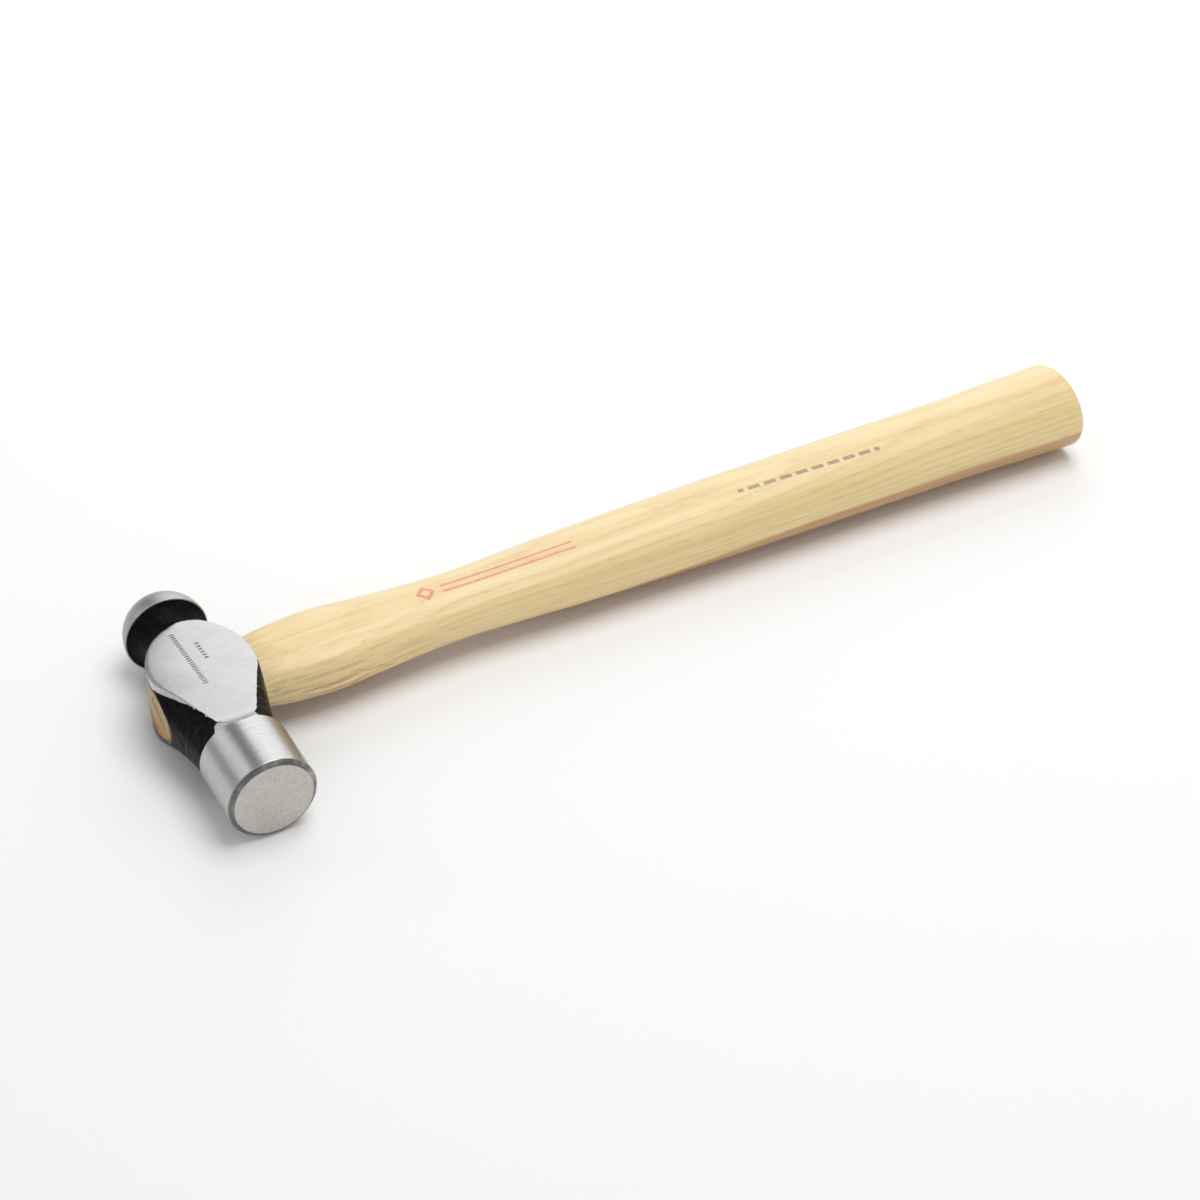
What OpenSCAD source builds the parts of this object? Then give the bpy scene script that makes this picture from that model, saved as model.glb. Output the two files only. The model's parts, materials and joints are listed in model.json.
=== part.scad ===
// Ball pein hammer, lying on its side.
// X runs along the handle to its butt, the striking face looks to -Y, and Z is up.
// Every module draws round the crossing of the head's axis and the handle's axis,
// and place() moves that point to where the hammer's own box stands on the origin.

/* [Head] */
// Distance from the handle's centre line to the striking face
face_reach = 59.2; // [55:0.2:64]
// Distance from the handle's centre line to the tip of the ball
ball_reach = 46.8; // [44:0.2:50]
// Diameter of the ground cylinder behind the striking face
poll_d = 30; // [28.4:0.2:32]
// Length of the ground cylinder, from its back edge to the start of the chamfer
poll_len = 23.2; // [18:0.2:26]
// Diameter of the flat striking face, inside the chamfer
face_d = 26.7; // [22:0.1:27.5]
// Length of the chamfer round the striking face, along the head
face_chamfer = 1.2; // [0.4:0.1:2]
// Diameter of the ball
ball_d = 29.2; // [27:0.2:31]
// How far the polished part of the ball runs past its centre, towards the handle
ball_skirt = 0.4; // [0:0.2:2]
// Diameter of the neck at the ball's back, at its thinnest
ball_neck_d = 19.8; // [17:0.2:22]
// Radius of the hollow between the ball and the body
ball_neck_fillet = 7.4; // [6.5:0.1:8]
// Thickness of the body from cheek to cheek
cheek_t = 24.4; // [22:0.2:26]
// Radius of the soft step where a cheek runs into the poll
cheek_fillet = 6; // [4:0.5:8]

/* [Body] */
// Radius of the turned bulb round the eye, measured from the head's axis
bulb_reach = 21.2; // [20:0.2:23]
// Radius of the bulb's curve along the head
bulb_r = 29.7; // [27:0.1:32]
// How far the middle of the bulb lies from the handle's centre line, towards the ball
bulb_shift = 0.6; // [0:0.1:1.5]
// Diameter of the body where it meets the poll
poll_neck_d = 28; // [26:0.2:28]
// Radius of the hollow curve from the bulb to the poll
poll_neck_r = 95; // [80:1:110]
// Half width of the body at the eye, along the handle
eye_side_reach = 17.8; // [17.5:0.1:18.5]
// Radius of the crown over the eye, on the ball's side
eye_side_r = 28; // [26:0.1:30]
// Slope of the crown over the eye, on the face's side, in degrees
eye_side_slope = 7; // [6:0.1:9.5]
// Distance from the handle's centre line to the top of the crown, towards the face
crown_shift = 2; // [0:0.5:3]
// Turn of the forged body off the head's axis, in degrees, its ball end towards the handle
body_turn = 1.5; // [0:0.1:2]

/* [Eye and tenon] */
// Length of the eye's mouth, along the head
eye_len = 30.4; // [28:0.2:31]
// Width of the eye's mouth, from cheek to cheek
eye_w = 18.4; // [16:0.2:19]
// How much longer and wider the mouth is than the eye's waist
eye_flare = 1.4; // [0.6:0.2:2]

/* [Handle] */
// Distance from the head's axis to the butt
butt_reach = 346; // [335:1:360]
// Depth of the handle at the swell by the head, along the head
swell_depth = 32.4; // [31:0.1:33]
// Thickness of the handle at the swell by the head
swell_t = 21.8; // [20.5:0.1:22.5]
// Depth of the handle at the waist
waist_depth = 26.8; // [25:0.1:28]
// Thickness of the handle at the waist
waist_t = 21.3; // [20:0.1:22]
// Depth of the handle at the middle of the grip
grip_depth = 33.3; // [32:0.1:34]
// Thickness of the handle at the middle of the grip
grip_t = 27.4; // [26:0.1:27.8]
// Depth of the handle at the butt
butt_depth = 36.7; // [35:0.1:38]
// Rounding of the butt's edge
butt_round = 1.5; // [1:0.25:4]

/* [Wedges] */
// Thickness of a wedge at the end that is struck
wedge_t = 3; // [2:0.1:3.4]
// Thickness of a wedge at its thin edge
wedge_tip_t = 0.6; // [0.4:0.1:1]
// Width of a wedge, across the eye
wedge_w = 11; // [9:0.5:12]
// How deep a wedge goes below the eye's mouth
wedge_depth = 19; // [14:1:22]
// Distance between the two wedges, from middle to middle
wedge_gap = 9; // [7:0.2:10]
// How far the pair lies from the handle's centre line, towards the face
wedge_shift = 2.5; // [0:0.5:3]
// How much nearer the face the front wedge sits, along its own line
wedge_slide = 2; // [0:0.5:2.5]
// Angle between the wedges and the head's axis
wedge_turn = 35; // [20:1:45]

/* [Hidden] */

// Far enough to run past any surface that a block is meant to clear
CLEAR = 40;
// How far the body runs into the poll, so that the two join as one solid
RUN_IN = 1;
// Fineness of the true curves
CURVE_FN = 96;
// Points round one ring of the handle, and round the eye
RING = 48;
// Distance between rings along the tenon and along the handle
EYE_STEP = 3.5;
HANDLE_STEP = 8;
// Steps of the crown's curve over the eye, on one side
CROWN_STEPS = 40;
// Steps of the rounding at the butt
ROUND_STEPS = 5;
// Square sections need a power over 2, and the swell is the squarest
SWELL_POWER = 2.6;

poll_r = poll_d / 2;
face_r = face_d / 2;
ball_r = ball_d / 2;
neck_r = ball_neck_d / 2;
poll_front = face_reach - face_chamfer;
poll_back = poll_front - poll_len;
ball_mid = ball_r - ball_reach;
skirt_end = ball_mid + ball_skirt;
skirt_r = sqrt(ball_r * ball_r - ball_skirt * ball_skirt);
// The hollow behind the ball starts at the skirt, a little inside its edge
neck_mid_r = neck_r + ball_neck_fillet;
neck_mid = skirt_end + sqrt(pow(ball_neck_fillet, 2) - pow(neck_mid_r - skirt_r + 0.8, 2));
bulb_mid_r = bulb_reach - bulb_r;
// The hollow towards the poll touches the bulb's curve and ends at the poll's back edge
poll_neck_mid_r = poll_neck_d / 2 + poll_neck_r * cos(asin(0.13));
poll_neck_mid = sqrt(pow(bulb_r + poll_neck_r, 2) - pow(poll_neck_mid_r - bulb_mid_r, 2)) - bulb_shift;
crown_mid = eye_side_reach - eye_side_r;
slope_start = crown_shift + eye_side_r * sin(eye_side_slope);
slope_end = poll_back + RUN_IN;
slope_end_reach = crown_mid + eye_side_r * cos(eye_side_slope)
    - (slope_end - slope_start) * tan(eye_side_slope);
// How far the crown reaches once the body is turned
crown_reach = eye_side_r + crown_mid * cos(body_turn) + crown_shift * sin(body_turn);
// The tenon leaves the eye where the rings of both meet
eye_end = EYE_STEP * floor(eye_side_reach / EYE_STEP);
rest_height = poll_r;
butt_t = poll_d;

// The hammer's box is centred on the origin in X and Y, and its lowest line is at Z = 0
function origin_shift() = [(crown_reach - butt_reach) / 2, (face_reach - ball_reach) / 2, rest_height];

// Along the handle: position, half depth, half thickness and power of the section
STATIONS = [
    [eye_end, eye_half(eye_end, eye_len), eye_half(eye_end, eye_w), 2],
    [26, swell_depth / 2 - 0.55, swell_t / 2 - 0.8, 2.4],
    [42.5, swell_depth / 2, swell_t / 2, SWELL_POWER],
    [56.5, swell_depth / 2 - 1.1, swell_t / 2 + 0.15, 2.35],
    [76, waist_depth / 2 + 0.55, waist_t / 2 + 0.2, 2.05],
    [93, waist_depth / 2, waist_t / 2, 2],
    [111, waist_depth / 2 + 0.65, waist_t / 2 + 0.65, 2],
    [136, grip_depth / 2 - 1.45, grip_t / 2 - 1.35, 2],
    [172, grip_depth / 2 - 0.6, grip_t / 2 - 0.55, 2],
    [227, grip_depth / 2, grip_t / 2, 2],
    [butt_reach - 51, grip_depth / 2 + 0.4, grip_t / 2 + 0.4, 2],
    [butt_reach - 23, butt_depth / 2 - 0.6, butt_t / 2 - 0.25, 2],
    [butt_reach, butt_depth / 2, butt_t / 2, 2]
];

// Half size of the flared eye at distance x from its waist, for a mouth of the given size
function eye_half(x, mouth) = (mouth - eye_flare * (1 - pow(x / eye_side_reach, 2))) / 2;

// Smooth curve through the stations
LAST = len(STATIONS) - 1;
function gap_at(x, i = 0) = i >= LAST - 1 || x < STATIONS[i + 1][0] ? i : gap_at(x, i + 1);
function rate(i, k) =
    let (a = max(i - 1, 0), b = min(i + 1, LAST))
    (STATIONS[b][k] - STATIONS[a][k]) / (STATIONS[b][0] - STATIONS[a][0]);
function station(x, k) =
    let (i = gap_at(x), w = STATIONS[i + 1][0] - STATIONS[i][0], t = (x - STATIONS[i][0]) / w)
    STATIONS[i][k] * (1 + 2 * t) * pow(1 - t, 2) + STATIONS[i + 1][k] * t * t * (3 - 2 * t)
    + w * rate(i, k) * t * pow(1 - t, 2) - w * rate(i + 1, k) * t * t * (1 - t);

// One ring across the handle: half depth a, half thickness b, power p
function bend(v, p) = sign(v) * pow(abs(v), 2 / p);
function ring(x, a, b, p) = [
    for (i = [0 : RING - 1])
        let (turn = 360 * i / RING)
        [x, -a * bend(cos(turn), p), b * bend(sin(turn), p)]
];
function eye_ring(x) = ring(x, eye_half(x, eye_len), eye_half(x, eye_w), 2);
function handle_ring(x, shrink = 0) =
    ring(x, station(x, 1) - shrink, station(x, 2) - shrink, station(x, 3));

// A closed tube through rings of RING points each
module loft(rings) {
    count = len(rings);
    sides = [
        for (k = [0 : count - 2], i = [0 : RING - 1])
            let (j = (i + 1) % RING)
            [k * RING + i, k * RING + j, (k + 1) * RING + j, (k + 1) * RING + i]
    ];
    first = [for (i = [RING - 1 : -1 : 0]) i];
    last = [for (i = [0 : RING - 1]) (count - 1) * RING + i];
    polyhedron([for (r = rings) each r], concat([first, last], sides));
}

// Turns a profile of radius and distance towards the face round the head's axis
module turned() {
    rotate([90, 0, 0])
        rotate_extrude($fn = CURVE_FN)
            children();
}

// Outline seen from above a cheek, over the eye: crowned towards the ball, sloped to the poll
module crown_outline() {
    tip_turn = acos(-crown_mid / eye_side_r);
    side = [
        [slope_end_reach, -slope_end],
        for (k = [0 : CROWN_STEPS])
            let (turn = (tip_turn + eye_side_slope) * k / CROWN_STEPS - eye_side_slope)
            [crown_mid + eye_side_r * cos(turn), eye_side_r * sin(turn) - crown_shift]
    ];
    other_side = [for (k = [len(side) - 2 : -1 : 0]) [-side[k][0], side[k][1]]];
    rotate(-body_turn) polygon(concat(side, other_side));
}

// The two flat cheeks, each with its soft step up to the poll
module cheek_outline() {
    half_t = cheek_t / 2;
    step_start = poll_back - sqrt(pow(cheek_fillet, 2) - pow(cheek_fillet - (poll_r - half_t), 2));
    difference() {
        translate([-CLEAR, -poll_r]) square([CLEAR + slope_end, poll_d]);
        for (side = [-1, 1]) {
            translate([-CLEAR - 1, side > 0 ? half_t : -half_t - CLEAR])
                square([CLEAR + 1 + step_start, CLEAR]);
            translate([step_start, side * (half_t + cheek_fillet)])
                circle(r = cheek_fillet, $fn = CURVE_FN);
        }
    }
}

module bulb_profile() {
    touch = bulb_r / (bulb_r + poll_neck_r);
    touch_at = (poll_neck_mid + bulb_shift) * touch - bulb_shift;
    touch_r = bulb_mid_r + (poll_neck_mid_r - bulb_mid_r) * touch;
    intersection() {
        translate([bulb_mid_r, -bulb_shift]) circle(r = bulb_r, $fn = CURVE_FN);
        translate([0, -CLEAR]) square([CLEAR, CLEAR + touch_at]);
    }
    difference() {
        translate([0, touch_at]) square([touch_r, slope_end - touch_at]);
        translate([poll_neck_mid_r, poll_neck_mid]) circle(r = poll_neck_r, $fn = CURVE_FN);
    }
}

module body_block() {
    intersection() {
        rotate([0, 0, -body_turn]) turned() bulb_profile();
        linear_extrude(height = 2 * CLEAR, center = true) crown_outline();
        rotate([90, 0, -90])
            linear_extrude(height = 2 * CLEAR, center = true)
                cheek_outline();
    }
}

module poll_profile() {
    polygon([
        [0, poll_back - 1], [poll_neck_d / 2 - 1, poll_back - 1], [poll_neck_d / 2 - 1, poll_back],
        [poll_r, poll_back], [poll_r, poll_front], [face_r, face_reach], [0, face_reach]
    ]);
}

module ball_profile() {
    intersection() {
        translate([0, ball_mid]) circle(r = ball_r, $fn = CURVE_FN);
        translate([0, -ball_reach - 1]) square([ball_r + 1, ball_reach + 1 + skirt_end]);
    }
    difference() {
        translate([0, skirt_end]) square([skirt_r - 0.8, neck_mid - skirt_end + ball_neck_fillet / 2]);
        translate([neck_mid_r, neck_mid]) circle(r = ball_neck_fillet, $fn = CURVE_FN);
    }
    translate([0, neck_mid]) square([neck_r, -neck_mid]);
}

module head() {
    place() color([0.70, 0.70, 0.70])
        difference() {
            union() {
                body_block();
                turned() poll_profile();
                turned() ball_profile();
            }
            loft([for (x = [-6 * EYE_STEP : EYE_STEP : 6 * EYE_STEP]) eye_ring(x)]);
        }
}

// Keeps what lies between the crown over the eye and the butt's end face
module handle_limits() {
    linear_extrude(height = 2 * CLEAR, center = true) {
        crown_outline();
        translate([0, -CLEAR]) square([butt_reach, 2 * CLEAR]);
    }
}

module handle() {
    tenon = [for (x = [-6 * EYE_STEP : EYE_STEP : eye_end]) eye_ring(x)];
    shaft_len = butt_reach - butt_round - eye_end;
    shaft_steps = ceil(shaft_len / HANDLE_STEP);
    shaft = [for (k = [1 : shaft_steps]) handle_ring(eye_end + shaft_len * k / shaft_steps)];
    edge = [
        for (k = [1 : ROUND_STEPS])
            let (turn = 90 * k / ROUND_STEPS)
            handle_ring(butt_reach - butt_round * (1 - sin(turn)), butt_round * (1 - cos(turn)))
    ];
    past_end = handle_ring(butt_reach, butt_round);
    place() color([0.87, 0.77, 0.56])
        difference() {
            intersection() {
                loft(concat(tenon, shaft, edge, [[for (p = past_end) p + [2, 0, 0]]]));
                handle_limits();
            }
            wedge_shape(1);
            wedge_shape(-1);
        }
}

module wedge_outline() {
    tip = wedge_depth - eye_side_reach;
    half_t = wedge_t / 2;
    polygon([
        [-CLEAR, -half_t], [-eye_side_reach, -half_t], [tip, -wedge_tip_t / 2],
        [tip, wedge_tip_t / 2], [-eye_side_reach, half_t], [-CLEAR, half_t]
    ]);
}

// A taper wedge in the tenon's end; side is 1 for the one nearer the face
module wedge_shape(side) {
    intersection() {
        translate([0, -wedge_shift, 0]) rotate([wedge_turn, 0, 0])
            translate([0, side > 0 ? -wedge_slide : 0, side * wedge_gap / 2])
                rotate([90, 0, 0])
                    linear_extrude(height = wedge_w, center = true)
                        wedge_outline();
        linear_extrude(height = 2 * CLEAR, center = true) crown_outline();
    }
}

module front_wedge() {
    place() color([0.45, 0.44, 0.42]) wedge_shape(1);
}

module rear_wedge() {
    place() color([0.45, 0.44, 0.42]) wedge_shape(-1);
}

module place() {
    translate(origin_shift()) children();
}

head();
handle();
front_wedge();
rear_wedge();
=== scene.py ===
"""Looks of a ball pein hammer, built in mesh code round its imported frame.

Lengths are millimetres until a mesh is made. Points are measured from the crossing of the
head's axis and the handle's axis: x runs to the butt, y to the ball, z up out of the cheek.
Along the head, u = -y runs to the striking face.
"""

import json
import math

import bmesh
import bpy
import numpy as np
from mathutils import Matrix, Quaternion, Vector


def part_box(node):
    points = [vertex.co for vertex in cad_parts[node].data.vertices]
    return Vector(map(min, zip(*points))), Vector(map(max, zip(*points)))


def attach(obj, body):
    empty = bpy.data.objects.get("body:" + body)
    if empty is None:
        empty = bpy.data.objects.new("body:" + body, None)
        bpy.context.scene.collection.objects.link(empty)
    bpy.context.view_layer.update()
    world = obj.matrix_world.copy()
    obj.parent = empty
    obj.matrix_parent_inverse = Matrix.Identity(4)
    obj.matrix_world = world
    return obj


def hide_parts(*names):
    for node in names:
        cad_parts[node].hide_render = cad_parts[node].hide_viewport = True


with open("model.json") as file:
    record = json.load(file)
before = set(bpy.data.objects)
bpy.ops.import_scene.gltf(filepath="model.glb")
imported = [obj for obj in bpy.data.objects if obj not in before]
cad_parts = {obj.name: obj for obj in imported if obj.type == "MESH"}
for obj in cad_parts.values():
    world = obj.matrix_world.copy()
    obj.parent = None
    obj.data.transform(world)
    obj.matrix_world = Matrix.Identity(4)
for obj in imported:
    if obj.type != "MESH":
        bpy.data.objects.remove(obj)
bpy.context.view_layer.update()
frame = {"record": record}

MM = 0.001
MOUNTS = {m["name"]: m for m in frame["record"]["mounts"]}
POLL_PLACE = MOUNTS["poll"]["pos_m"]
BUTT_PLACE = MOUNTS["butt"]["pos_m"]
CROSSING = np.array([POLL_PLACE[0], BUTT_PLACE[1], POLL_PLACE[2]])

# ---------------------------------------------------------------- sizes of the head
FACE_REACH = (CROSSING[1] - MOUNTS["striking_face"]["pos_m"][1]) / MM
BALL_REACH = (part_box("head")[1][1] - CROSSING[1]) / MM
POLL_R = MOUNTS["poll"]["dims"]["r_mm"]
POLL_LEN = MOUNTS["poll"]["dims"]["length_mm"]
CHAMFER = 1.2
FACE_R = 13.35
POLL_FRONT = FACE_REACH - CHAMFER
POLL_BACK = POLL_FRONT - POLL_LEN
BALL_R = 14.6
BALL_MID = BALL_R - BALL_REACH
BALL_SKIRT = 0.4
SKIRT_END = BALL_MID + BALL_SKIRT
SKIRT_R = math.sqrt(BALL_R**2 - BALL_SKIRT**2)
RIM_DROP = 0.8
NECK_R = 9.9
HOLLOW_R = 7.4
HOLLOW_MID_R = NECK_R + HOLLOW_R
HOLLOW_MID = SKIRT_END + math.sqrt(HOLLOW_R**2 - (HOLLOW_MID_R - SKIRT_R + RIM_DROP) ** 2)
NECK_BLEND = 2.0

# Each cheek is a ground flat, with a ramp that curves up to the poll
CHEEK = 12.2
CHEEK_RAMP_R = 12.0
CHEEK_RAMP_END = POLL_BACK + 1.2
# Beside the ramp the ground surface laps over the forging, from this far up round the section
LAP_START = 31.0
LAP_END = POLL_BACK - 0.2
LAP_UP = (0.835, 0.885)
# Beside the eye's open end the cheek rolls off, and its edge has a small bevel
ROLL_WIDTH = 13.0
ROLL_DROP = 0.6
ROLL_MOST = 1.2
ROLL_FADE = (2, 22)
BEVEL_WIDTH = 0.75
BEVEL_SLOPE = 0.5
BEVEL_ROUND = 0.06
BEVEL_FADE = (6, 22)
# On the shaft's side the cheek falls away a little
CHEEK_FALL = 0.55
CHEEK_FALL_FADE = (24, POLL_BACK)

# The body is a bulb round the eye and a hollow curve to the poll
BULB_R = 29.7
BULB_MID_R = 21.2 - BULB_R
BULB_SHIFT = 0.6
WAIST_R = 95.0
WAIST_MID_R = 108.2
WAIST_MID = 43.4
BODY_TURN = math.tan(math.radians(1.5))
CROWN_R = 28.0
CROWN_MID = 17.8 - CROWN_R
CROWN_SHIFT = 2.0
CROWN_SLOPE = math.radians(4.0)
SADDLE_START = 17.0
SADDLE_SLOPE = math.tan(math.radians(9.5))
SADDLE_BLEND = 0.5
# By the cheeks the forging is fuller on the shaft's side, and leaner on the other
BY_CHEEK = (0.28, 0.56)
SIDE_BLEND = 0.2
FULLER, FULLER_SETS_IN = 0.95, (-6, 12)
FULLER_LESS, FULLER_FADES = 0.35, (22, 30)
LEANER, LEANER_SETS_IN = 0.65, (2, 13)
# The forged skin is uneven, and calmer beside the eye's ground ends
ROUGH_SETS_IN = (-24, -20)
ROUGH_COARSE, COARSE_SIZE = 0.16, (2.6, 2.0, 2.6)
ROUGH_FINE, FINE_SIZE = 0.07, 0.9
CALM_SHARE = 0.85
CALM_ACROSS = (0.62, 0.8)
CALM_FADE = (17, 23)

EYE_REACH = 17.8
EYE_HALF_LEN = 15.2
EYE_HALF_W = 9.2
EYE_FLARE = 0.7

# ---------------------------------------------------------------- sizes of the handle
BUTT_REACH = (BUTT_PLACE[0] - CROSSING[0]) / MM
BUTT_ROUND = 1.5
TENON_END = 17.5
TENON_GAP = 0.12
# Along the handle: position, half depth, half thickness and power of the section
STATIONS = np.array([
    [TENON_END, EYE_HALF_LEN - 0.02, EYE_HALF_W - 0.02, 2.0],
    [26.0, 15.65, 10.1, 2.4],
    [42.5, 16.2, 10.9, 2.6],
    [56.5, 15.1, 11.05, 2.35],
    [76.0, 13.95, 10.85, 2.05],
    [93.0, 13.4, 10.65, 2.0],
    [111.0, 14.05, 11.3, 2.0],
    [136.0, 15.2, 12.35, 2.0],
    [172.0, 16.05, 13.15, 2.0],
    [227.0, 16.65, 13.7, 2.0],
    [BUTT_REACH - 51.0, 17.05, 14.1, 2.0],
    [BUTT_REACH - 23.0, 17.75, 14.75, 2.0],
    [BUTT_REACH, 18.35, 15.0, 2.0],
])

# ---------------------------------------------------------------- sizes of the wedges
WEDGE_T = 3.0
WEDGE_TIP_T = 0.6
WEDGE_W = 11.0
WEDGE_DEPTH = 19.0
WEDGE_GAP = 9.0
WEDGE_SHIFT = 2.5
WEDGE_SLIDE = 2.0
WEDGE_TURN = math.radians(35.0)
WEDGE_AROUND = 64
WEDGE_SHARP = 35
# Powers of the rounded outline, along its width and across its thickness
WEDGE_POWERS = (9, 7)
# How far the struck end lies under the crown, its dents, and its rounded edge
WEDGE_SUNK = 0.16
DENT_DEPTH, DENT_SIZE = 0.10, 1.3
WEDGE_EDGE = 0.10
WEDGE_EDGE_LEN = 0.2


# ================================================================ mesh tools
LATTICE_SIZE = 32
LATTICE = np.random.default_rng(11).uniform(-1, 1, (LATTICE_SIZE,) * 3)


def lumps(points, size):
    """Smooth noise from -1 to 1 whose lumps are about size across; size may differ by axis."""
    q = points / np.asarray(size, float)
    cell = np.floor(q).astype(int)
    part = q - cell
    part = part * part * (3 - 2 * part)
    total = np.zeros(points.shape[:-1])
    for corner in np.ndindex(2, 2, 2):
        weight = np.prod(np.where(corner, part, 1 - part), axis=-1)
        i = (cell + corner) % LATTICE_SIZE
        total += weight * LATTICE[i[..., 0], i[..., 1], i[..., 2]]
    return total


def ramp(value, low, high):
    """0 below low, 1 above high, smooth between."""
    t = np.clip((value - low) / (high - low), 0, 1)
    return t * t * (3 - 2 * t)


def soft_min(a, b, width):
    """The smaller of a and b, rounded where they are within width of each other."""
    h = np.clip(0.5 + 0.5 * (b - a) / width, 0, 1)
    return b + (a - b) * h - width * h * (1 - h)


def soft_max(a, b, width):
    return -soft_min(-a, -b, width)


def mesh_object(name, points, faces, sharp=32):
    """A smooth mesh from points in millimetres round the crossing, with edges over sharp degrees."""
    mesh = bpy.data.meshes.new(name)
    mesh.from_pydata((np.asarray(points) * MM + CROSSING).tolist(), [], faces)
    turned_out = bmesh.new()
    turned_out.from_mesh(mesh)
    bmesh.ops.recalc_face_normals(turned_out, faces=turned_out.faces)
    turned_out.to_mesh(mesh)
    turned_out.free()
    mesh.polygons.foreach_set("use_smooth", [True] * len(mesh.polygons))
    mesh.set_sharp_from_angle(angle=math.radians(sharp))
    made = bpy.data.objects.new(name, mesh)
    bpy.context.scene.collection.objects.link(made)
    return made


def loft_faces(rings, around, start=0):
    """Quads between rings of around points each, numbered from start."""
    faces = []
    for k in range(rings - 1):
        for i in range(around):
            a, b = start + k * around, start + (k + 1) * around
            j = (i + 1) % around
            faces.append((a + i, a + j, b + j, b + i))
    return faces


def closed_loft(name, rings, first_tip, last_tip, sharp=32):
    """A closed mesh through rings, each of the same number of points, with a point at each end."""
    count, around = len(rings), len(rings[0])
    points = np.vstack([np.vstack(rings), [first_tip, last_tip]])
    faces = loft_faces(count, around)
    for i in range(around):
        j = (i + 1) % around
        faces.append((count * around, j, i))
        last = (count - 1) * around
        faces.append((count * around + 1, last + i, last + j))
    return mesh_object(name, points, faces, sharp)


def points_of(piece):
    """The mesh's points in millimetres round the crossing."""
    co = np.empty(len(piece.data.vertices) * 3, np.float32)
    piece.data.vertices.foreach_get("co", co)
    return (co.reshape(-1, 3).astype(float) - CROSSING) / MM


def cut(piece, *cutters, sharp=32):
    """Takes the cutters' space out of piece, and removes the cutters."""
    for cutter in cutters:
        modifier = piece.modifiers.new("cut", "BOOLEAN")
        modifier.operation = "DIFFERENCE"
        modifier.solver = "MANIFOLD"
        modifier.object = cutter
        with bpy.context.temp_override(object=piece, active_object=piece):
            bpy.ops.object.modifier_apply(modifier=modifier.name)
        bpy.data.objects.remove(cutter)
    piece.data.materials.clear()
    piece.data.polygons.foreach_set("use_smooth", [True] * len(piece.data.polygons))
    piece.data.set_sharp_from_angle(angle=math.radians(sharp))


def add_attribute(piece, name, values):
    attribute = piece.data.attributes.new(name, "FLOAT", "POINT")
    attribute.data.foreach_set("value", np.asarray(values, np.float32))


# ================================================================ the head
AROUND = 288
TURNS = np.linspace(0, 2 * math.pi, AROUND, endpoint=False)
RING_STEP = 0.3
BALL_STEPS = 56
HOLLOW_STEPS = 22
RAMP_STEPS = 16
POLL_STEPS = 24
FACE_STEPS = 20
# Small rounds on the ball's rim, the poll's back edge and the chamfer
RIM_ROUND = 0.12
BACK_ROUND = 0.2
CHAMFER_ROUND = 0.15
# Forging marks in the hollow behind the ball
HOLLOW_COARSE, HOLLOW_COARSE_SIZE = 0.10, 1.8
HOLLOW_FINE, HOLLOW_FINE_SIZE = 0.05, 0.7
HEAD_SHARP = 26
# In each quarter of a body ring this point is on the cheek's edge, at most so far round.
# This sets in behind the neck, and the edge is looked for at so many turns.
EDGE_POINT = 40
EDGE_MOST = math.radians(75)
EDGE_SETS_IN = (HOLLOW_MID, -20)
EDGE_LOOKS = 181
# Lengths too short to see, and a radius past every surface of the head
HAIR = 1e-4
NEAR = 1e-3
OUT_OF_REACH = 1e3
# Deeper than this inside the skin a point is in the eye's wall
WALL_INSET = 0.08
RIM_DEPTH = 0.16
# How strongly the neck's fillet hides the ground areas
FILLET_HIDES = 4
# The lap is bright where this times its share passes that
LAP_BRIGHT, LAP_EDGE = 1.2, 0.5


def bulb_radius(u):
    """The turned outline of the body: a bulb round the eye, and a hollow curve to the poll."""
    bulb = BULB_MID_R + np.sqrt(np.maximum(BULB_R**2 - (u + BULB_SHIFT) ** 2, 0))
    hollow = WAIST_MID_R - np.sqrt(WAIST_R**2 - np.minimum(np.abs(u - WAIST_MID), WAIST_R) ** 2)
    touch = (WAIST_MID + BULB_SHIFT) * BULB_R / (BULB_R + WAIST_R) - BULB_SHIFT
    return np.where(u < touch, bulb, hollow)


def body_centre(u):
    """The body leans off the head's axis a little, and meets the ball's neck on it."""
    return -BODY_TURN * u * ramp(u, -27, -19)


def crown_half(u):
    """Half width over the eye, ground: crowned towards the ball, nearly straight to the poll."""
    start = CROWN_SHIFT + CROWN_R * math.sin(CROWN_SLOPE)
    reach = CROWN_MID + CROWN_R * math.cos(CROWN_SLOPE)
    crown = CROWN_MID + np.sqrt(np.maximum(CROWN_R**2 - (u - CROWN_SHIFT) ** 2, 0))
    return np.where(u < start, crown, reach - (u - start) * math.tan(CROWN_SLOPE))


def saddle_half(u):
    """Half width of the forged saddle between the eye's end and the poll."""
    return crown_half(np.array(SADDLE_START)) - (u - SADDLE_START) * SADDLE_SLOPE


def cheek_half(u):
    """Half thickness at the cheeks, with the ramp up to the poll."""
    rise = POLL_R - CHEEK
    start = CHEEK_RAMP_END - math.sqrt(CHEEK_RAMP_R**2 - (CHEEK_RAMP_R - rise) ** 2)
    along = np.clip(u - start, 0, CHEEK_RAMP_R)
    return np.minimum(CHEEK + CHEEK_RAMP_R - np.sqrt(CHEEK_RAMP_R**2 - along**2), POLL_R)


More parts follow.
